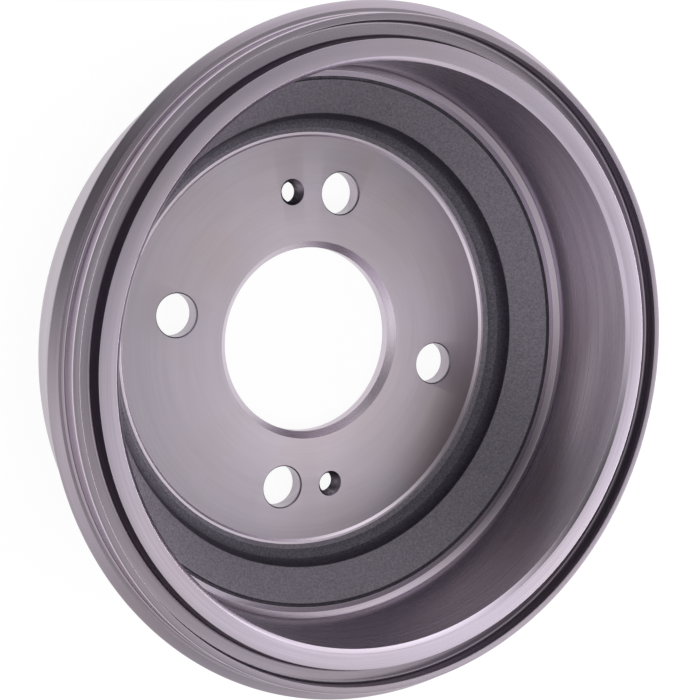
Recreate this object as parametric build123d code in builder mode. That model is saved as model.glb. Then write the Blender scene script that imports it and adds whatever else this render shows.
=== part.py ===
"""Hat-section brake drum for a small car's rear axle: one grey-iron casting, turned and drilled.

The axis of the drum is Z. The wheel face of the hat lies on z = 0 and the open end looks up, +Z, so the
drum stands on its wheel face. All sizes are in millimetres, and widths are taken along the radius.
"""
from build123d import *
import os
from math import sqrt

# ---- braking bore: what the shoes press on ------------------------------------------------------------
friction_dia = 180.0             # ground braking bore
friction_height = 35.5           # of the ground band, without its lead-in
lead_in = 1.2                    # 45 degree bevel at the open end, to slide the drum over the shoes

# ---- web: what is clamped between the hub and the wheel -----------------------------------------------
web_thickness = 6.4              # from the wheel face to the turned face that seats on the hub
hub_spigot_dia = 61.8            # the hub's locating spigot
hub_clearance = 0.2              # on the diameter, so the drum slides onto its hub
bore_lead_in = 2.2               # bevel on the hub side, which starts the drum on its spigot
bore_edge_break = 0.8            # bevel on the wheel side
seat_step = 0.8                  # the hub seat lies this much below the turned land round it
seat_land_width = 0.8
seat_bevel_width = 1.4           # turned bevel from that land out to the bare casting
wheel_face_bevel = 0.8

# ---- holes through the web ----------------------------------------------------------------------------
stud_count = 4
stud_circle_dia = 100.0
stud_dia = 12.0                  # M12 wheel studs
stud_clearance = 2.0             # on the diameter
stud_hole_break = 0.3            # bevel on both sides
jack_count = 2                   # tapped holes for the two bolts that push the drum off its hub
jack_thread_dia = 8.0            # M8
jack_thread_pitch = 1.25
jack_countersink_dia = 8.7
jack_offset_angle = 21.0         # from the stud hole on the Y axis to the jacking hole beside it, degrees

# ---- hat and shoulder, left as cast -------------------------------------------------------------------
hat_inner_dia = 150.0            # upright wall of the hat
hat_inner_height = 8.6           # from the hub seat up to the shoulder
hat_corner_radius = 6.0          # hollow corner between the web and the wall
hat_wall_upright = 1.0           # straight part of the wall above that corner
cast_corner_width = 4.5          # how much of the corner the turned web leaves standing
hat_wall = 7.0                   # iron outside the upright wall, at the top of the hat
hat_lean = 6.0                   # the outer wall of the hat leans out this much from its foot
hat_foot_width = 3.2             # bare casting round the wheel face
hat_foot_bevel = 1.2
hat_hollow_bevel = 3.0           # blunts the hollow corner where the outer wall meets the back of the ring
shoulder_rise = 1.2              # the back of the ring slopes up this much, out to its edge

# ---- turned run-out at the foot of the braking bore ---------------------------------------------------
run_out_width = 1.7              # flat ring where the boring tool and the grinding wheel stop
run_out_bevel = 1.6              # from that ring up to the braking bore
run_in_depth = 0.6               # small groove where the turning enters the casting
run_in_width = 0.9

# ---- braking ring -------------------------------------------------------------------------------------
ring_wall = 8.4                  # iron behind the foot of the braking bore
ring_draft = 0.8                 # the outside is this much wider at the flange
ring_back_wall = 8.1             # iron below the run-out ring
ring_back_bevel = 1.8            # blunts the edge between the outside and the back of the ring
flange_hollow_bevel = 1.8        # blunts the hollow corner under the flange

# ---- open end: rim face, groove for the backing plate's edge, drip lip and flange ---------------------
drum_height = 61.0
rim_face_width = 5.2
groove_width = 5.4               # at its mouth
groove_depth = 4.6
groove_draft = 1.0               # the groove's inner wall leans out this much over its depth
lip_width = 2.2
lip_height = 6.7                 # down its outside, to the flange
lip_foot_bevel = 0.5
flange_land = 1.6                # flat of the flange round the foot of the lip
flange_bevel_width = 2.6
flange_bevel_drop = 1.4
flange_edge = 0.7                # upright edge of the flange
lip_edge_break = 0.3             # bevel on both edges of the lip

# ---- worked out from the sizes above ------------------------------------------------------------------
bore_r = (hub_spigot_dia + hub_clearance) / 2
stud_circle_r = stud_circle_dia / 2
stud_hole_r = (stud_dia + stud_clearance) / 2
thread_cut_depth = 5 / 8 * sqrt(3) / 2 * jack_thread_pitch       # of an ISO metric thread
jack_hole_r = jack_thread_dia / 2 - thread_cut_depth

friction_r = friction_dia / 2
friction_top_z = drum_height - lead_in
friction_foot_z = friction_top_z - friction_height
run_out_z = friction_foot_z - run_out_bevel
run_out_outer_r = friction_r - run_out_bevel
run_out_inner_r = run_out_outer_r - run_out_width
run_in_r = run_out_inner_r - run_in_width

seat_z = web_thickness
land_z = seat_z + seat_step
shoulder_z = seat_z + hat_inner_height
hat_inner_r = hat_inner_dia / 2
corner_r = hat_inner_r - hat_corner_radius                       # centre of the hollow corner
corner_z = shoulder_z - hat_wall_upright
web_rim_r = hat_inner_r - cast_corner_width                      # where the turned web ends
web_rim_z = corner_z - sqrt(hat_corner_radius**2 - (web_rim_r - corner_r) ** 2)
land_outer_r = web_rim_r - seat_bevel_width
land_inner_r = land_outer_r - seat_land_width
hub_seat_r = land_inner_r - seat_step

ring_back_z = run_out_z - ring_back_wall
ring_back_r = friction_r + ring_wall
ring_flange_r = ring_back_r + ring_draft
hat_top_r = hat_inner_r + hat_wall
hat_top_z = ring_back_z - shoulder_rise
hat_foot_r = hat_top_r - hat_lean
wheel_face_r = hat_foot_r - hat_foot_width - wheel_face_bevel

rim_inner_r = friction_r + lead_in
rim_outer_r = rim_inner_r + rim_face_width
groove_z = drum_height - groove_depth
lip_inner_r = rim_outer_r + groove_width
lip_outer_r = lip_inner_r + lip_width
flange_z = drum_height - lip_height
flange_land_r = lip_outer_r + flange_land
flange_r = flange_land_r + flange_bevel_width
flange_edge_z = flange_z - flange_bevel_drop
flange_back_z = flange_edge_z - flange_edge

# Named corners of the half section (radius, height), which are bevelled afterwards.
hat_foot = (hat_foot_r, wheel_face_bevel)
hat_top = (hat_top_r, hat_top_z)
ring_back = (ring_back_r, ring_back_z)
flange_root = (ring_flange_r, flange_back_z)
lip_foot = (lip_outer_r, flange_z)

outside = [                                                      # from the bore out and up to the lip
    (bore_r, bore_edge_break),
    (bore_r + bore_edge_break, 0),
    (wheel_face_r, 0),
    (wheel_face_r + wheel_face_bevel, wheel_face_bevel),
    hat_foot,
    hat_top,
    ring_back,
    flange_root,
    (flange_r, flange_back_z),
    (flange_r, flange_edge_z),
    (flange_land_r, flange_z),
    lip_foot,
    (lip_outer_r, drum_height - lip_edge_break),
    (lip_outer_r - lip_edge_break, drum_height),
]
open_end = [                                                     # across the lip, the groove and the rim face
    (lip_outer_r - lip_edge_break, drum_height),
    (lip_inner_r + lip_edge_break, drum_height),
    (lip_inner_r, drum_height - lip_edge_break),
    (lip_inner_r, groove_z),
    (rim_outer_r + groove_draft, groove_z),
    (rim_outer_r, drum_height),
    (rim_inner_r, drum_height),
]
braking_bore = [                                                 # down the bore and in along the shoulder
    (rim_inner_r, drum_height),
    (friction_r, friction_top_z),
    (friction_r, friction_foot_z),
    (run_out_outer_r, run_out_z),
    (run_out_inner_r, run_out_z),
    (run_out_inner_r, run_out_z - run_in_depth),
    (run_in_r, run_out_z - run_in_depth),
    (run_in_r, run_out_z),
    (hat_inner_r, shoulder_z),
    (hat_inner_r, corner_z),
]
web = [                                                          # the turned web, in to the bore
    (web_rim_r, web_rim_z),
    (land_outer_r, land_z),
    (land_inner_r, land_z),
    (hub_seat_r, seat_z),
    (bore_r + bore_lead_in, seat_z),
    (bore_r, seat_z - bore_lead_in),
    (bore_r, bore_edge_break),
]
corner_bevels = {
    hat_foot: hat_foot_bevel,
    hat_top: hat_hollow_bevel,
    ring_back: ring_back_bevel,
    flange_root: flange_hollow_bevel,
    lip_foot: lip_foot_bevel,
}


def round_edges(radius):
    """The drum's circular edges of one radius, such as the rims of a set of holes."""
    circles = brake_drum.edges().filter_by(GeomType.CIRCLE)
    return circles.filter_by(lambda edge: abs(edge.radius - radius) < 0.001)


with BuildPart() as brake_drum:
    # The half section is turned once round the axis.
    with BuildSketch(Plane.XZ) as half_section:
        with BuildLine():
            Polyline(*outside)
            Polyline(*open_end)
            Polyline(*braking_bore)
            RadiusArc((hat_inner_r, corner_z), (web_rim_r, web_rim_z), hat_corner_radius)
            Polyline(*web)
        make_face()
        for corner, bevel in corner_bevels.items():
            chamfer(half_section.vertices().sort_by_distance(Vector(*corner))[0], bevel)
    revolve(axis=Axis.Z)

    # Stud holes on the X and Y axes, bevelled on both sides.
    with PolarLocations(stud_circle_r, stud_count):
        Hole(stud_hole_r)
    chamfer(round_edges(stud_hole_r), stud_hole_break)

    # Tapped jacking holes, drilled to the thread's minor diameter and countersunk on both sides.
    with PolarLocations(stud_circle_r, jack_count, start_angle=90 + jack_offset_angle):
        Hole(jack_hole_r)
    chamfer(round_edges(jack_hole_r), jack_countersink_dia / 2 - jack_hole_r)

brake_drum.part.label = "brake_drum"
os.makedirs("parts", exist_ok=True)
export_step(brake_drum.part, "parts/brake_drum.step")
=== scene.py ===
"""A hat-section brake drum in grey iron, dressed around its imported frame.

It stands on its wheel face with the axis upright along Z, as the frame has it. Sizes are written in
millimetres and turned to metres where a mesh, a pattern or a tree is given them.
"""
import math

import bpy
from mathutils import Matrix, Vector


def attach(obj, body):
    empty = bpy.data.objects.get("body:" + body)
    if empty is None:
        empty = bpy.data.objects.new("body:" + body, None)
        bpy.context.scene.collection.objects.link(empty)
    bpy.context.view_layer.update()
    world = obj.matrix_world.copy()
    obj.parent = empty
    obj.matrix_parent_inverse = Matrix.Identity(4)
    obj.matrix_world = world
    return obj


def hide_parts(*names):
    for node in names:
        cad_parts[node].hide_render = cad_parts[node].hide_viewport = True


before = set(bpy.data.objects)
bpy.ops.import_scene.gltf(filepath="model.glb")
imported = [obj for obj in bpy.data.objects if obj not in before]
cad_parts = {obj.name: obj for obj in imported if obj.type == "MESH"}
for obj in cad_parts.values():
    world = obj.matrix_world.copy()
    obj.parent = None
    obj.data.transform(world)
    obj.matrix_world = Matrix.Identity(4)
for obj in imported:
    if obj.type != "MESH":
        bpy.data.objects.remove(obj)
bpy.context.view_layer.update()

# ---- Grey iron, as cast and as cut --------------------------------------------------------------------
# The whole drum is one bare grey-iron casting. What differs is how each part of its surface was made: in
# the sand mould, by a lathe tool, a grinding wheel or a drill. Some finishes are darker copies, with painted
# shade for the recesses where shade falls.
# Iron is a dull metal, so every finish is fully metallic with the default IOR.
MM = 0.001


def add_node(tree, kind, settings=None, **sockets):
    """Adds one node. Settings are its own properties, and the rest are its sockets, by name or by _number.

    A socket gets a value, a link from a node or from one of its outputs, or a list of these.
    """
    node = tree.nodes.new(kind)
    for name, value in (settings or {}).items():
        setattr(node, name, value)
    for name, value in sockets.items():
        socket = node.inputs[int(name[1:]) if name[0] == "_" else name.replace("_", " ")]
        for item in value if isinstance(value, list) else [value]:
            if isinstance(item, bpy.types.Node):
                item = item.outputs[0]
            if isinstance(item, bpy.types.NodeSocket):
                tree.links.new(item, socket)
            else:
                socket.default_value = item
    return node


def linear(hex_colour):
    """A colour written as sRGB hex, as the linear numbers that Blender works with."""
    parts = [int(hex_colour[i:i + 2], 16) / 255 for i in (1, 3, 5)]
    return (*(c / 12.92 if c <= 0.04045 else ((c + 0.055) / 1.055) ** 2.4 for c in parts), 1.0)


def iron(name, draw):
    """A material in bare iron: draw links its pattern from Object coordinates to the Principled shader."""
    material = bpy.data.materials.new(name)
    material.use_nodes = True
    tree = material.node_tree
    tree.nodes.clear()
    place = add_node(tree, "ShaderNodeTexCoord").outputs["Object"]
    shader = add_node(tree, "ShaderNodeBsdfPrincipled", Metallic=1.0)
    add_node(tree, "ShaderNodeOutputMaterial", Surface=shader)
    draw(tree, place, shader)
    return material


def round_the_axis():
    """A node group: the direction out from the axis, the way along the section, and the grooves' tangent."""
    group = bpy.data.node_groups.new("round_the_axis", "ShaderNodeTree")
    group.interface.new_socket("Place", in_out="INPUT", socket_type="NodeSocketVector")
    group.interface.new_socket("Outwards", in_out="OUTPUT", socket_type="NodeSocketVector")
    group.interface.new_socket("Along", in_out="OUTPUT", socket_type="NodeSocketFloat")
    group.interface.new_socket("Tangent", in_out="OUTPUT", socket_type="NodeSocketVector")
    place = group.nodes.new("NodeGroupInput").outputs["Place"]
    axes = add_node(group, "ShaderNodeSeparateXYZ", Vector=place)
    flat = add_node(group, "ShaderNodeCombineXYZ", X=axes.outputs["X"], Y=axes.outputs["Y"])
    radius = add_node(
        group, "ShaderNodeVectorMath", {"operation": "LENGTH"}, _0=flat
    ).outputs["Value"]
    outwards = add_node(group, "ShaderNodeVectorMath", {"operation": "NORMALIZE"}, _0=flat)
    along = add_node(group, "ShaderNodeMath", {"operation": "ADD"}, _0=radius, _1=axes.outputs["Z"])
    tangent = add_node(
        group, "ShaderNodeVectorMath", {"operation": "CROSS_PRODUCT"}, _0=(0, 0, 1), _1=outwards
    )
    add_node(group, "NodeGroupOutput", Outwards=outwards, Along=along, Tangent=tangent)
    return group


axis_group = round_the_axis()


def tool_marks(tree, place, pitch_mm):
    """Noise drawn out round the axis in marks this wide, and the parts of the place it was drawn from."""
    change_round = 1.2                   # the more, the shorter a mark is on its way round
    parts = add_node(tree, "ShaderNodeGroup", {"node_tree": axis_group}, Place=place)
    drawn_out = add_node(
        tree, "ShaderNodeVectorMath", {"operation": "SCALE"}, _0=parts.outputs["Outwards"], Scale=change_round
    )
    axes = add_node(tree, "ShaderNodeSeparateXYZ", Vector=drawn_out)
    step = add_node(
        tree, "ShaderNodeMath", {"operation": "DIVIDE"}, _0=parts.outputs["Along"], _1=pitch_mm * MM
    )
    where = add_node(tree, "ShaderNodeCombineXYZ", X=axes.outputs["X"], Y=axes.outputs["Y"], Z=step)
    noise = add_node(tree, "ShaderNodeTexNoise", Vector=where, Scale=1.0, Detail=2.0, Roughness=0.6)
    return noise.outputs["Fac"], parts.outputs


def cut(
    light, dark, pitch_mm, roughness, anisotropy, groove_mm=0.003, spread=0.03, warm=0.3, rim_shade_share=1.0
):
    """A cut surface: fine grooves round the axis, which draw reflections out across them, and warm patches.

    A lathe feeds 0.1 to 0.3 mm a turn, too fine to show here, so the grooves are drawn 0.6 to 1 mm wide, with
    wider marks over them. The patches are where the iron has begun to tarnish. The web is painted darker
    towards its rim, as painted shade next to the ring: the share given for the rim is what is left of its
    colour there.
    """
    wide_mark = 6                        # the wider marks, in widths of the fine ones
    tarnish_patch = 45 * MM
    web_inside, web_outside = 40 * MM, 74 * MM       # radius and height added up, as the marks count along

    def draw(tree, place, shader):
        marks, parts = tool_marks(tree, place, pitch_mm)
        wide_marks, _ = tool_marks(tree, place, pitch_mm * wide_mark)
        both = add_node(tree, "ShaderNodeMath", {"operation": "ADD"}, _0=marks, _1=wide_marks)
        share = add_node(tree, "ShaderNodeMapRange", Value=both, From_Min=0.7, From_Max=1.3)
        colour = add_node(
            tree, "ShaderNodeMix", {"data_type": "RGBA"}, _0=share, _6=linear(dark), _7=linear(light)
        )
        patches = add_node(tree, "ShaderNodeTexNoise", Vector=place, Scale=1 / tarnish_patch, Detail=3.0)
        warmth = add_node(
            tree, "ShaderNodeMapRange", Value=patches, From_Min=0.45, From_Max=0.75, To_Max=warm
        )
        tarnished = add_node(
            tree, "ShaderNodeMix", {"data_type": "RGBA", "blend_type": "MULTIPLY"},
            _0=warmth, _6=colour.outputs[2], _7=linear("#F6EEE0"),
        )
        # Painted shade: the colour grows darker towards the web's rim, next to the ring.
        painted_rim_shade = add_node(
            tree, "ShaderNodeMapRange", Value=parts["Along"],
            From_Min=web_inside, From_Max=web_outside, To_Min=1.0, To_Max=rim_shade_share,
        )
        rim_shaded_colour = add_node(
            tree, "ShaderNodeVectorMath", {"operation": "SCALE"}, _0=tarnished.outputs[2], Scale=painted_rim_shade
        )
        tree.links.new(rim_shaded_colour.outputs[0], shader.inputs["Base Color"])
        rough = add_node(
            tree, "ShaderNodeMapRange", Value=marks, From_Min=0.3, From_Max=0.7,
            To_Min=roughness + spread, To_Max=roughness - spread,
        )
        tree.links.new(rough.outputs[0], shader.inputs["Roughness"])
        bump = add_node(tree, "ShaderNodeBump", Height=marks, Distance=groove_mm * MM)
        tree.links.new(bump.outputs[0], shader.inputs["Normal"])
        tree.links.new(parts["Tangent"], shader.inputs["Tangent"])
        shader.inputs["Anisotropic"].default_value = anisotropy

    return draw


def cast(light, dark, pit_mm):
    """The skin left by the mould: dull, with the print of its sand grains and slow changes of shade.

    Moulding sand has grains of about 0.3 mm, which are drawn at 0.7 mm so that they show.
    """
    sand_grain = 0.7 * MM
    shade_patch = 14 * MM
    patch_share = 0.25                   # how much the patches count for, beside the grain

    def draw(tree, place, shader):
        grain = add_node(
            tree, "ShaderNodeTexNoise", Vector=place, Scale=1 / sand_grain, Detail=3.0, Roughness=0.6
        )
        patches = add_node(tree, "ShaderNodeTexNoise", Vector=place, Scale=1 / shade_patch, Detail=2.0)
        part = add_node(tree, "ShaderNodeMath", {"operation": "MULTIPLY"}, _0=patches, _1=patch_share)
        mixed = add_node(tree, "ShaderNodeMath", {"operation": "ADD"}, _0=grain, _1=part)
        share = add_node(tree, "ShaderNodeMapRange", Value=mixed, From_Min=0.42, From_Max=0.82)
        colour = add_node(
            tree, "ShaderNodeMix", {"data_type": "RGBA"}, _0=share, _6=linear(dark), _7=linear(light)
        )
        tree.links.new(colour.outputs[2], shader.inputs["Base Color"])
        rough = add_node(
            tree, "ShaderNodeMapRange", Value=patches, From_Min=0.3, From_Max=0.7, To_Min=0.52, To_Max=0.62
        )
        tree.links.new(rough.outputs[0], shader.inputs["Roughness"])
        bump = add_node(tree, "ShaderNodeBump", Height=grain, Distance=pit_mm * MM)
        tree.links.new(bump.outputs[0], shader.inputs["Normal"])

    return draw


# Sand-cast iron: the grey, grainy shoulder, the back of the ring and the outside of the hat.
sand_cast = iron("sand_cast_iron", cast("#8E8892", "#6D6872", 0.15))
# Painted shade on the casting: the hollow corner and the run-in groove are a darker cast iron, painted for
# the shade that falls in these recesses.
cast_shade_paint = iron("cast_iron_painted_shade", cast("#706B75", "#4F4B54", 0.1))
# Deeper painted shade: the wall of the hat, beneath the shoulder's edge, is cast iron painted near black for
# the shade that falls on it.
cast_deep_shade_paint = iron("cast_iron_deep_painted_shade", cast("#5B5661", "#423E48", 0.1))
# The web was faced at a fine feed: a satin surface, with a soft sheen that swings round with the grooves. Its
# colour is painted darker towards its rim, as painted shade next to the ring.
faced = iron("faced_iron", cut(
    "#CDC3CF", "#C7BDC9", 0.8, 0.33, 0.7, groove_mm=0.001, spread=0.012, warm=0.65, rim_shade_share=0.72
))
# The rim, the lead-in, the run-out and the underside of the flange were turned with a sharp tool, which
# leaves them bright, clear and a little lilac.
turned = iron("turned_iron", cut("#C0B6C4", "#B4AAB8", 0.7, 0.24, 0.6))
# The flange, the foot and top of the lip, the groove and the bevel below the braking bore were turned at a
# coarser feed, so they scatter more light.
rough_turned = iron("rough_turned_iron", cut("#A39AA5", "#968D98", 0.9, 0.28, 0.6))
# The braking bore was ground with the drum spinning: close marks and a clearer, darker reflection.
ground = iron("ground_iron", cut("#B8B0BB", "#A8A0AB", 0.6, 0.26, 0.5))
# The groove's inner wall was cut by a narrow tool. It and the mouths of the stud holes are painted dark, as
# shade in these recesses, and soft.
turned_shade_paint = iron("turned_iron_painted_shade", cut("#7A747F", "#655F69", 0.7, 0.3, 0.5))
# The bore for the hub's spigot was bored to size with a sharp tool, and the land round the hub seat and the
# outside of the lip were finished with one: the brightest iron, all round.
bored = iron("bored_iron", cut("#D6CCD8", "#CBC1CD", 0.6, 0.28, 0.6))
# The outside of the ring was skimmed at a coarse feed: bright, with plain lines that can be seen.
skimmed = iron("skimmed_iron", cut("#C0B7C2", "#B6ADB8", 1.0, 0.36, 0.6, groove_mm=0.01))
# The walls of the stud holes were reamed to size after drilling, and take up the light from below.
reamed = iron("reamed_iron", cut("#B8AFBA", "#A69DA8", 0.6, 0.32, 0.3))
# The jacking holes were tapped and still hold some cutting oil: dark, with light only on the crests.
tapped = iron("tapped_iron", cut("#7E7781", "#625C65", 0.6, 0.35, 0.3))

# ---- Half section of the drum -------------------------------------------------------------------------
# What a cut through one side of the drum shows: the web and the hat below, the braking ring and its flange
# above. Iron, sand-cast to this shape with its corners rounded, then turned where it has to be true. Each
# corner has its radius, height, rounding and the finish of the stretch that starts there.
finishes = [
    sand_cast, cast_shade_paint, cast_deep_shade_paint, faced, turned, rough_turned, ground, turned_shade_paint, skimmed, reamed, tapped,
    bored,
]
(
    CAST, CAST_IN_PAINTED_SHADE, CAST_IN_DEEP_PAINTED_SHADE, FACED, TURNED, ROUGH_TURNED, GROUND, TURNED_IN_PAINTED_SHADE, SKIMMED, REAMED, TAPPED, BORED,
) = range(len(finishes))
LAST_AS_CAST = CAST_IN_DEEP_PAINTED_SHADE                   # the finishes up to this one are bare casting
half_section = [
    (31.0, 0.8, 0, FACED),               # bevel of the bore on the wheel side
    (31.8, 0.0, 0, FACED),               # wheel face
    (72.0, 0.0, 0.2, FACED),             # its bevel
    (72.8, 0.8, 0.2, CAST),              # bare casting round it
    (76.0, 0.8, 2.0, CAST),              # outer wall of the hat
    (82.0, 13.4, 7.0, CAST),             # back of the ring
    (98.4, 14.6, 3.4, SKIMMED),          # outside of the ring
    (99.2, 52.2, 3.0, TURNED),           # under the flange
    (108.16, 52.2, 0.15, ROUGH_TURNED),  # edge of the flange
    (108.16, 52.9, 0.15, ROUGH_TURNED),  # bevel of the flange
    (105.6, 54.3, 0.3, ROUGH_TURNED),    # land round the lip
    (104.0, 54.3, 0.9, ROUGH_TURNED),    # foot of the lip
    (104.0, 55.3, 0, BORED),             # outside of the lip
    (104.0, 61.0, 0.45, ROUGH_TURNED),   # top of the lip
    (101.8, 61.0, 0.15, ROUGH_TURNED),   # outer wall of the groove
    (101.8, 56.4, 0.9, ROUGH_TURNED),    # floor of the groove
    (97.4, 56.4, 0.9, TURNED_IN_PAINTED_SHADE),            # inner wall of the groove
    (96.4, 61.0, 0.2, TURNED),           # rim face
    (91.2, 61.0, 0.1, TURNED),           # lead-in
    (90.0, 59.8, 0.1, GROUND),           # braking bore
    (90.0, 24.3, 0.2, ROUGH_TURNED),     # bevel at its foot
    (88.4, 22.7, 0.2, TURNED),           # run-out ring
    (86.7, 22.7, 0.1, CAST_IN_PAINTED_SHADE),   # run-in groove
    (86.7, 22.1, 0.1, CAST_IN_PAINTED_SHADE),
    (85.8, 22.1, 0.1, CAST_IN_PAINTED_SHADE),
    (85.8, 22.7, 0.3, CAST),             # shoulder
    (75.0, 15.0, 0.8, CAST_IN_DEEP_PAINTED_SHADE),          # wall of the hat
    (75.0, 9.35, 5.99, CAST_IN_PAINTED_SHADE),  # its hollow corner
    (70.5, 8.19, 0, CAST),               # bevel down from the casting
    (69.1, 7.2, 0.2, BORED),             # land
    (68.3, 7.2, 0.2, BORED),
    (67.5, 6.4, 0.1, FACED),             # hub seat
    (33.2, 6.4, 0, BORED),               # lead-in of the bore
    (31.0, 4.2, 0, BORED),               # bore
]
arc_step = math.radians(12)              # the finest turn between two points of a rounded corner
cast_step = 1.5                          # longest stretch between points where the surface is as cast


def rounded(corners):
    """The corners as points (radius, height, finish), with arcs at the rounded ones."""
    points = []
    for i, (r, z, radius, finish) in enumerate(corners):
        here = Vector((r, z))
        before, after = Vector(corners[i - 1][:2]), Vector(corners[(i + 1) % len(corners)][:2])
        into, out = (here - before).normalized(), (after - here).normalized()
        turn = into.angle_signed(out) if radius else 0
        if not turn:
            points.append((r, z, finish))
            continue
        reach = radius * math.tan(abs(turn) / 2)
        start = here - into * reach
        centre = start + Vector((into.y, -into.x)) * math.copysign(radius, turn)
        steps = max(2, math.ceil(abs(turn) / arc_step))
        for k in range(steps + 1):
            at = centre + Matrix.Rotation(-turn * k / steps, 2) @ (start - centre)
            points.append((at.x, at.y, corners[i - 1][3] if k < steps / 2 else finish))
    return points


def divided(points):
    """The same points, with more between them along the stretches that are as cast."""
    full = []
    for i, (r, z, finish) in enumerate(points):
        after = points[(i + 1) % len(points)]
        length = math.dist((r, z), after[:2])
        parts = max(1, math.ceil(length / cast_step)) if finish <= LAST_AS_CAST else 1
        for k in range(parts):
            full.append((r + (after[0] - r) * k / parts, z + (after[1] - z) * k / parts, finish))
    return full


def section_object(name, points):
    """A row of points (radius, height, finish) in the XZ plane, as a mesh that a node tree can read."""
    mesh = bpy.data.meshes.new(name)
    mesh.from_pydata([(r * MM, 0, z * MM) for r, z, _ in points], [], [])
    kinds = mesh.attributes.new("finish", "INT", "POINT")
    kinds.data.foreach_set("value", [finish for _, _, finish in points])
    holder = bpy.data.objects.new(name, mesh)
    bpy.context.scene.collection.objects.link(holder)
    return holder


body_section = section_object("body_section", divided(rounded(half_section)))

# ---- Turning ------------------------------------------------------------------------------------------
# A lathe makes one shape all round, so a node tree turns a section once round the axis. It serves the drum
# itself and the drills and countersinks that cut its holes.


def new_tree(name, sockets):
    """An empty geometry tree with these inputs, given as name and kind of socket, and one geometry output."""
    tree = bpy.data.node_groups.new(name, "GeometryNodeTree")
    for socket, kind in sockets:
        tree.interface.new_socket(socket, in_out="INPUT", socket_type="NodeSocket" + kind)
    tree.interface.new_socket("Geometry", in_out="OUTPUT", socket_type="NodeSocketGeometry")
    return tree, tree.nodes.new("NodeGroupInput").outputs


def turning_tree():
    """Turns a section round Z. Each row of faces keeps the finish of its stretch of the section."""
    tree, given = new_tree("turn_section", [("Section", "Object"), ("Segments", "Int"), ("Closed", "Int")])
    section = add_node(tree, "GeometryNodeObjectInfo", Object=given["Section"]).outputs["Geometry"]
    size = add_node(tree, "GeometryNodeAttributeDomainSize", {"component": "MESH"}, Geometry=section)
    count = size.outputs["Point Count"]
    rows = add_node(tree, "FunctionNodeIntegerMath", {"operation": "ADD"}, _0=count, _1=given["Closed"])
    columns = add_node(tree, "FunctionNodeIntegerMath", {"operation": "ADD"}, _0=given["Segments"], _1=1)
    grid = add_node(tree, "GeometryNodeMeshGrid", Vertices_X=columns, Vertices_Y=rows)
    index = add_node(tree, "GeometryNodeInputIndex")
    row = add_node(tree, "FunctionNodeIntegerMath", {"operation": "MODULO"}, _0=index, _1=rows)
    point = add_node(tree, "FunctionNodeIntegerMath", {"operation": "MODULO"}, _0=row, _1=count)
    place = add_node(
        tree, "GeometryNodeSampleIndex", {"data_type": "FLOAT_VECTOR", "domain": "POINT"},
        Geometry=section, Value=add_node(tree, "GeometryNodeInputPosition"), Index=point,
    )
    column = add_node(tree, "FunctionNodeIntegerMath", {"operation": "DIVIDE_FLOOR"}, _0=index, _1=rows)
    step = add_node(tree, "ShaderNodeMath", {"operation": "DIVIDE"}, _0=math.tau, _1=given["Segments"])
    angle = add_node(tree, "ShaderNodeMath", {"operation": "MULTIPLY"}, _0=step, _1=column)
    turned_place = add_node(
        tree, "ShaderNodeVectorRotate", {"rotation_type": "Z_AXIS"}, Vector=place, Angle=angle
    )
    shaped = add_node(tree, "GeometryNodeSetPosition", Geometry=grid.outputs["Mesh"], Position=turned_place)
    face_rows = add_node(tree, "FunctionNodeIntegerMath", {"operation": "SUBTRACT"}, _0=rows, _1=1)
    face_row = add_node(tree, "FunctionNodeIntegerMath", {"operation": "MODULO"}, _0=index, _1=face_rows)
    finish = add_node(tree, "GeometryNodeInputNamedAttribute", {"data_type": "INT"}, Name="finish")
    face_finish = add_node(
        tree, "GeometryNodeSampleIndex", {"data_type": "INT", "domain": "POINT"},
        Geometry=section, Value=finish, Index=face_row,
    )
    marked = add_node(
        tree, "GeometryNodeStoreNamedAttribute", {"data_type": "INT", "domain": "FACE"},
        Geometry=shaped, Name="finish", Value=face_finish,
    )
    closed = add_node(tree, "GeometryNodeMergeByDistance", Geometry=marked, Distance=0.001 * MM)
    add_node(tree, "NodeGroupOutput", Geometry=closed)
    return tree


turn_section = turning_tree()

# ---- The drum: its casting, and the holes through its web -----------------------------------------------
# The turned body gets the slight unevenness of a sand mould where it is bare casting. Four holes for the
# wheel studs are drilled through it, and two tapped M8, countersunk on both sides, for the bolts that push
# the drum off its hub.
web_thickness = 6.4
overrun = 0.5                            # how far each tool stands out past the web's two faces
mouth_reach = 0.5                        # how far down the wall from its bevel a mouth keeps its finish


def hole_section(name, radius, depth, mouth_radius, finish, mouth_finish):
    """The section of a tool for a hole through the web, which opens to the mouth radius at both faces.

    The mouth's finish reaches a little way down the wall on the hub side.
    """
    reach = mouth_radius + overrun
    bevel_foot = web_thickness - depth
    return section_object(name, [
        (0, -overrun, finish), (reach, -overrun, finish), (radius, depth, finish),
        (radius, bevel_foot - mouth_reach, mouth_finish), (radius, bevel_foot, mouth_finish),
        (reach, web_thickness + overrun, mouth_finish), (0, web_thickness + overrun, mouth_finish),
    ])


stud_hole_r = 7.0
stud_break = 0.35
# The mouths of the stud holes take the groove wall's painted shade, which reaches a little way down the wall.
stud_section = hole_section(
    "stud_hole_section", stud_hole_r, stud_break, stud_hole_r + stud_break, REAMED, TURNED_IN_PAINTED_SHADE
)
jack_minor_r = 3.32                      # of the M8 thread
thread_height = 0.72
countersink_r = 4.35
countersink_shank_r = jack_minor_r - 0.1             # a little thinner than the hole that the tap cuts
countersink_depth = countersink_r - countersink_shank_r
countersink_section = hole_section(
    "countersink_section", countersink_shank_r, countersink_depth, countersink_r, TAPPED, TAPPED
)


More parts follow.
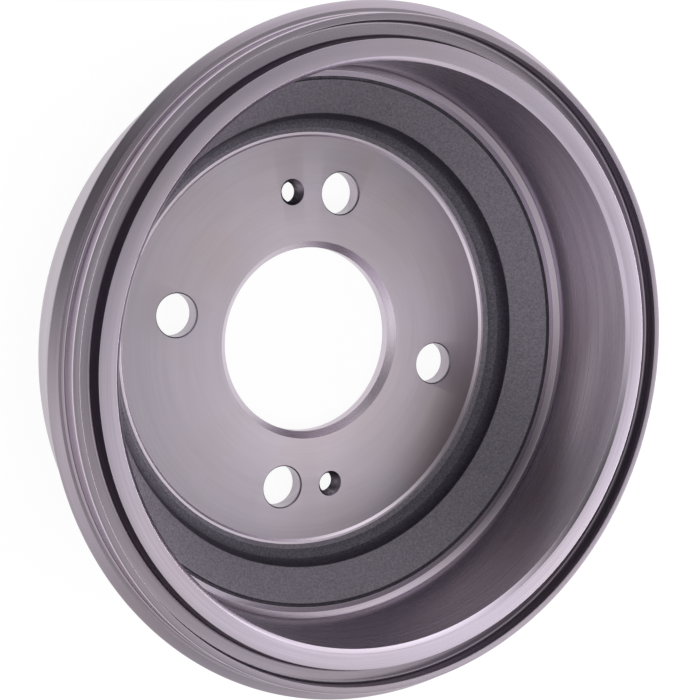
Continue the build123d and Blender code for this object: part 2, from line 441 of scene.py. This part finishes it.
def spread_round(tree, geometry, count, radius, first):
    """Copies of one tool, evenly spread on a circle round the axis from this first angle, made real."""
    index = add_node(tree, "GeometryNodeInputIndex")
    share = add_node(tree, "ShaderNodeMath", {"operation": "DIVIDE"}, _0=index, _1=count)
    angle = add_node(
        tree, "ShaderNodeMath", {"operation": "MULTIPLY_ADD"}, _0=share, _1=math.tau, _2=first
    )
    out = add_node(tree, "ShaderNodeCombineXYZ", X=radius)
    place = add_node(tree, "ShaderNodeVectorRotate", {"rotation_type": "Z_AXIS"}, Vector=out, Angle=angle)
    points = add_node(tree, "GeometryNodePoints", Count=count, Position=place)
    copies = add_node(tree, "GeometryNodeInstanceOnPoints", Points=points, Instance=geometry)
    return add_node(tree, "GeometryNodeRealizeInstances", Geometry=copies)


def uneven_casting(tree, given, body):
    """Moves the bare casting in and out a little, but not where it meets a cut surface."""
    finish = add_node(tree, "GeometryNodeInputNamedAttribute", {"data_type": "INT"}, Name="finish")
    bare = add_node(
        tree, "FunctionNodeCompare", {"data_type": "INT", "operation": "LESS_EQUAL"},
        _2=finish.outputs[0], _3=LAST_AS_CAST,
    )
    share = add_node(
        tree, "GeometryNodeFieldOnDomain", {"domain": "FACE", "data_type": "FLOAT"}, Value=bare
    )
    wholly_bare = add_node(tree, "FunctionNodeCompare", {"operation": "GREATER_THAN"}, _0=share, _1=0.99)
    fineness = add_node(tree, "ShaderNodeMath", {"operation": "DIVIDE"}, _0=1.0, _1=given["Mould Grain"])
    lumps = add_node(tree, "ShaderNodeTexNoise", Scale=fineness, Detail=2.0)
    centred = add_node(tree, "ShaderNodeMath", {"operation": "SUBTRACT"}, _0=lumps, _1=0.5)
    height = add_node(
        tree, "ShaderNodeMath", {"operation": "MULTIPLY"}, _0=centred, _1=given["Mould Unevenness"]
    )
    normal = add_node(tree, "GeometryNodeInputNormal")
    offset = add_node(tree, "ShaderNodeVectorMath", {"operation": "SCALE"}, _0=normal, Scale=height)
    return add_node(tree, "GeometryNodeSetPosition", Geometry=body, Selection=wholly_bare, Offset=offset)


def tap(tree, given):
    """A rod with a crest that winds up it once in each pitch, standing through the web: it cuts a thread."""
    points_round, rings = 48, 60         # about ten rings to a pitch, enough for a clean crest
    length = add_node(
        tree, "ShaderNodeMath", {"operation": "ADD"}, _0=given["Web Thickness"], _1=2 * overrun * MM
    )
    rod = add_node(
        tree, "GeometryNodeMeshCylinder", Vertices=points_round, Side_Segments=rings,
        Radius=given["Thread Minor Radius"], Depth=length,
    )
    place = add_node(tree, "GeometryNodeInputPosition")
    axes = add_node(tree, "ShaderNodeSeparateXYZ", Vector=place)
    bearing = add_node(
        tree, "ShaderNodeMath", {"operation": "ARCTAN2"}, _0=axes.outputs["Y"], _1=axes.outputs["X"]
    )
    turns = add_node(tree, "ShaderNodeMath", {"operation": "DIVIDE"}, _0=bearing, _1=math.tau)
    pitches = add_node(
        tree, "ShaderNodeMath", {"operation": "DIVIDE"}, _0=axes.outputs["Z"], _1=given["Thread Pitch"]
    )
    phase = add_node(tree, "ShaderNodeMath", {"operation": "SUBTRACT"}, _0=pitches, _1=turns)
    half_crest = add_node(tree, "ShaderNodeMath", {"operation": "PINGPONG"}, _0=phase, _1=0.5)
    height = add_node(tree, "ShaderNodeMath", {"operation": "MULTIPLY"}, _0=given["Thread Height"], _1=2.0)
    crest = add_node(tree, "ShaderNodeMath", {"operation": "MULTIPLY"}, _0=half_crest, _1=height)
    share = add_node(
        tree, "ShaderNodeMath", {"operation": "DIVIDE"}, _0=crest, _1=given["Thread Minor Radius"]
    )
    grown = add_node(tree, "ShaderNodeMath", {"operation": "ADD"}, _0=share, _1=1.0)
    scale = add_node(tree, "ShaderNodeCombineXYZ", X=grown, Y=grown, Z=1.0)
    wide = add_node(tree, "ShaderNodeVectorMath", {"operation": "MULTIPLY"}, _0=place, _1=scale)
    thread = add_node(tree, "GeometryNodeSetPosition", Geometry=rod.outputs["Mesh"], Position=wide)
    middle = add_node(tree, "ShaderNodeMath", {"operation": "MULTIPLY"}, _0=given["Web Thickness"], _1=0.5)
    rise = add_node(tree, "ShaderNodeCombineXYZ", Z=middle)
    raised = add_node(tree, "GeometryNodeTransform", Geometry=thread, Translation=rise)
    return add_node(
        tree, "GeometryNodeStoreNamedAttribute", {"data_type": "INT", "domain": "FACE"},
        Geometry=raised, Name="finish", Value=TAPPED,
    )


def drum_tree():
    """The drum: its section turned, its skin made uneven, its holes taken out, each face given its finish."""
    drill_segments, countersink_segments = 96, 64
    sharp_fold = math.radians(25)        # an edge that folds more than this is shaded sharp
    tree, given = new_tree("drum", [
        ("Half Section", "Object"), ("Segments", "Int"),
        ("Mould Unevenness", "Float"), ("Mould Grain", "Float"),
        ("Stud Section", "Object"), ("Stud Count", "Int"), ("Bolt Circle Radius", "Float"),
        ("Countersink Section", "Object"), ("Jack Count", "Int"), ("Jack Angle", "Float"),
        ("Thread Pitch", "Float"), ("Thread Minor Radius", "Float"), ("Thread Height", "Float"),
        ("Web Thickness", "Float"),
    ])
    body = add_node(
        tree, "GeometryNodeGroup", {"node_tree": turn_section},
        Section=given["Half Section"], Segments=given["Segments"], Closed=1,
    )
    drill = add_node(
        tree, "GeometryNodeGroup", {"node_tree": turn_section},
        Section=given["Stud Section"], Segments=drill_segments, Closed=0,
    )
    sink = add_node(
        tree, "GeometryNodeGroup", {"node_tree": turn_section},
        Section=given["Countersink Section"], Segments=countersink_segments, Closed=0,
    )
    drills = spread_round(tree, drill, given["Stud Count"], given["Bolt Circle Radius"], 0.0)
    jacking = given["Jack Count"], given["Bolt Circle Radius"], given["Jack Angle"]
    sinks = spread_round(tree, sink, *jacking)
    taps = spread_round(tree, tap(tree, given), *jacking)
    drilled_body = add_node(
        tree, "GeometryNodeMeshBoolean", {"operation": "DIFFERENCE", "solver": "MANIFOLD"},
        _0=uneven_casting(tree, given, body), _1=[drills, sinks, taps],
    )
    smooth = add_node(
        tree, "GeometryNodeSetShadeSmooth", {"domain": "FACE"}, Geometry=drilled_body.outputs["Mesh"]
    )
    fold = add_node(tree, "GeometryNodeInputMeshEdgeAngle")
    sharp = add_node(tree, "FunctionNodeCompare", {"operation": "GREATER_THAN"}, _0=fold, _1=sharp_fold)
    edged = add_node(
        tree, "GeometryNodeSetShadeSmooth", {"domain": "EDGE"},
        Geometry=smooth, Selection=sharp, Shade_Smooth=False,
    )
    last = add_node(tree, "GeometryNodeRealizeInstances", Geometry=edged)
    finish = add_node(tree, "GeometryNodeInputNamedAttribute", {"data_type": "INT"}, Name="finish")
    for number, material in enumerate(finishes):
        here = add_node(
            tree, "FunctionNodeCompare", {"data_type": "INT", "operation": "EQUAL"},
            _2=finish.outputs[0], _3=number,
        )
        last = add_node(tree, "GeometryNodeSetMaterial", Geometry=last, Selection=here, Material=material)
    add_node(tree, "NodeGroupOutput", Geometry=last)
    return tree


def grown_mesh(name, tree, values):
    """Runs a tree on an empty object with these inputs, and keeps the result as a plain mesh object."""
    seed = bpy.data.objects.new(name + "_seed", bpy.data.meshes.new(name + "_seed"))
    bpy.context.scene.collection.objects.link(seed)
    modifier = seed.modifiers.new(tree.name, "NODES")
    modifier.node_group = tree
    for item in tree.interface.items_tree:
        if item.in_out == "INPUT":
            modifier[item.identifier] = values[item.name]
    depsgraph = bpy.context.evaluated_depsgraph_get()
    mesh = bpy.data.meshes.new_from_object(seed.evaluated_get(depsgraph))
    mesh.name = name
    mesh.materials.pop(index=0)          # the empty slot that a new mesh starts with
    bpy.data.objects.remove(seed)
    piece = bpy.data.objects.new(name, mesh)
    bpy.context.scene.collection.objects.link(piece)
    return piece


drum = grown_mesh("drum_casting", drum_tree(), {
    "Half Section": body_section, "Segments": 360, "Mould Unevenness": 0.3 * MM, "Mould Grain": 5 * MM,
    "Stud Section": stud_section, "Stud Count": 4, "Bolt Circle Radius": 50 * MM,
    "Countersink Section": countersink_section, "Jack Count": 2, "Jack Angle": math.radians(111),
    "Thread Pitch": 1.25 * MM, "Thread Minor Radius": jack_minor_r * MM, "Thread Height": thread_height * MM,
    "Web Thickness": web_thickness * MM,
})
for section in (body_section, stud_section, countersink_section):
    bpy.data.objects.remove(section)
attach(drum, "root")
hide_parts("brake_drum")

# ---- Floor --------------------------------------------------------------------------------------------
# A plain floor of matt white paper, laid just under the wheel face. The camera and the iron see it as white,
# and it keeps a soft shadow of the drum.
floor_reach = 3.0                        # metres each way
floor_drop = 0.2 * MM                    # keeps the floor clear of the wheel face, which lies on z = 0
paper_glow = 1.06                        # a little over white, to make up for the share that is matt
paper_glow_share = 0.87                  # the rest is matt and takes the drum's shadow
floor_mesh = bpy.data.meshes.new("floor")
floor_corners = [(x * floor_reach, y * floor_reach, 0) for x, y in ((-1, -1), (1, -1), (1, 1), (-1, 1))]
floor_mesh.from_pydata(floor_corners, [], [(0, 1, 2, 3)])
floor = bpy.data.objects.new("floor", floor_mesh)
floor.location.z = -floor_drop
bpy.context.scene.collection.objects.link(floor)

paper = bpy.data.materials.new("white_paper")
paper.use_nodes = True
paper_tree = paper.node_tree
paper_tree.nodes.clear()
path = add_node(paper_tree, "ShaderNodeLightPath").outputs
seen = add_node(
    paper_tree, "ShaderNodeMath", {"operation": "MAXIMUM"}, _0=path["Is Camera Ray"], _1=path["Is Glossy Ray"]
)
seen_directly = add_node(
    paper_tree, "ShaderNodeMath", {"operation": "MAXIMUM"}, _0=seen, _1=path["Is Transmission Ray"]
)
glow_share = add_node(
    paper_tree, "ShaderNodeMath", {"operation": "MULTIPLY"}, _0=seen_directly, _1=paper_glow_share
)
glow = add_node(paper_tree, "ShaderNodeEmission", Color=linear("#FFFFFF"), Strength=paper_glow)
matt = add_node(paper_tree, "ShaderNodeBsdfDiffuse", Color=linear("#F2F2F2"))
mixed_paper = add_node(paper_tree, "ShaderNodeMixShader", _0=glow_share, _1=matt, _2=glow)
add_node(paper_tree, "ShaderNodeOutputMaterial", Surface=mixed_paper)
floor_mesh.materials.append(paper)

# ---- Light and camera ---------------------------------------------------------------------------------
# A light tent: white cloth all round, brightest near the floor, with six soft lamps behind it and two darker
# places, and a dark opening on the side that the drum is looked at from. Its directions and widths are in
# degrees: azimuth from X towards Y, elevation up from the floor.
cloth_glow = 0.59
horizon_width, horizon_glow = 26, 1.1
cloth_patches = [                        # azimuth, elevation, width, and what is added there to the glow
    (3, 11, 21, 5.9),                    # the strongest lamp: low, and across the drum from the camera
    (346, 48, 9, 0.5),                   # this and the next two lie near where level faces mirror the tent
    (343, 63, 10, 0.75),
    (9, 66, 9, -0.45),
    (95, 18, 28, 1.0),
    (222, 55, 22, 1.1),
    (155, 12, 17, 0.8),
    (295, 12, 30, -0.45),
]
opening_azimuth, opening_elevation, opening_width = 147, 46, 31
opening_darkness = 0.95                  # of the light that would come from there
world = bpy.data.worlds.new("light_tent")
bpy.context.scene.world = world
world.use_nodes = True
tent = world.node_tree
tent.nodes.clear()
heading = add_node(tent, "ShaderNodeTexCoord").outputs["Generated"]


def bell(angle, width):
    """1 where the angle is nothing, and dying away softly over this width in degrees."""
    share = add_node(tent, "ShaderNodeMath", {"operation": "DIVIDE"}, _0=angle, _1=math.radians(width))
    square = add_node(tent, "ShaderNodeMath", {"operation": "MULTIPLY"}, _0=share, _1=share)
    negative = add_node(tent, "ShaderNodeMath", {"operation": "MULTIPLY"}, _0=square, _1=-1.0)
    return add_node(tent, "ShaderNodeMath", {"operation": "EXPONENT"}, _0=negative)


def patch(azimuth, elevation, width):
    """A soft round patch of the tent in this direction, in degrees."""
    across, up = math.radians(azimuth), math.radians(elevation)
    middle = (math.cos(up) * math.cos(across), math.cos(up) * math.sin(across), math.sin(up))
    cosine = add_node(tent, "ShaderNodeVectorMath", {"operation": "DOT_PRODUCT"}, _0=heading, _1=middle)
    angle = add_node(tent, "ShaderNodeMath", {"operation": "ARCCOSINE"}, _0=cosine.outputs["Value"])
    return bell(angle, width)


rise = add_node(tent, "ShaderNodeSeparateXYZ", Vector=heading).outputs["Z"]
above = add_node(tent, "ShaderNodeMath", {"operation": "MAXIMUM"}, _0=rise, _1=0.0)
elevation = add_node(tent, "ShaderNodeMath", {"operation": "ARCSINE"}, _0=above)
tent_light = add_node(
    tent, "ShaderNodeMath", {"operation": "MULTIPLY_ADD"},
    _0=bell(elevation, horizon_width), _1=horizon_glow, _2=cloth_glow,
)
for azimuth, height, width, added in cloth_patches:
    tent_light = add_node(
        tent, "ShaderNodeMath", {"operation": "MULTIPLY_ADD"},
        _0=patch(azimuth, height, width), _1=added, _2=tent_light,
    )
opening = add_node(
    tent, "ShaderNodeMath", {"operation": "MULTIPLY_ADD"},
    _0=patch(opening_azimuth, opening_elevation, opening_width), _1=-opening_darkness, _2=1.0,
)
strength = add_node(tent, "ShaderNodeMath", {"operation": "MULTIPLY"}, _0=tent_light, _1=opening)
white = add_node(tent, "ShaderNodeBackground", Color=linear("#FFFFFF"), Strength=strength)
add_node(tent, "ShaderNodeOutputWorld", Surface=white)

# The camera looks down into the open end, from its place in metres and along its own three axes.
camera_place = (-0.2593, 0.0104, 0.4629)
right, up, back = (0.8425, 0.1948, 0.5022), (-0.1564, 0.9806, -0.1181), (-0.5155, 0.0210, 0.8566)
camera_turn = Matrix((right, up, back)).transposed().to_4x4()
camera_data = bpy.data.cameras.new("camera")
camera_data.sensor_width = 36.0
camera_data.lens = 80.8
camera = bpy.data.objects.new("camera", camera_data)
camera.matrix_world = Matrix.Translation(camera_place) @ camera_turn
bpy.context.scene.collection.objects.link(camera)
bpy.context.scene.camera = camera
bpy.context.scene.view_settings.view_transform = "Standard"
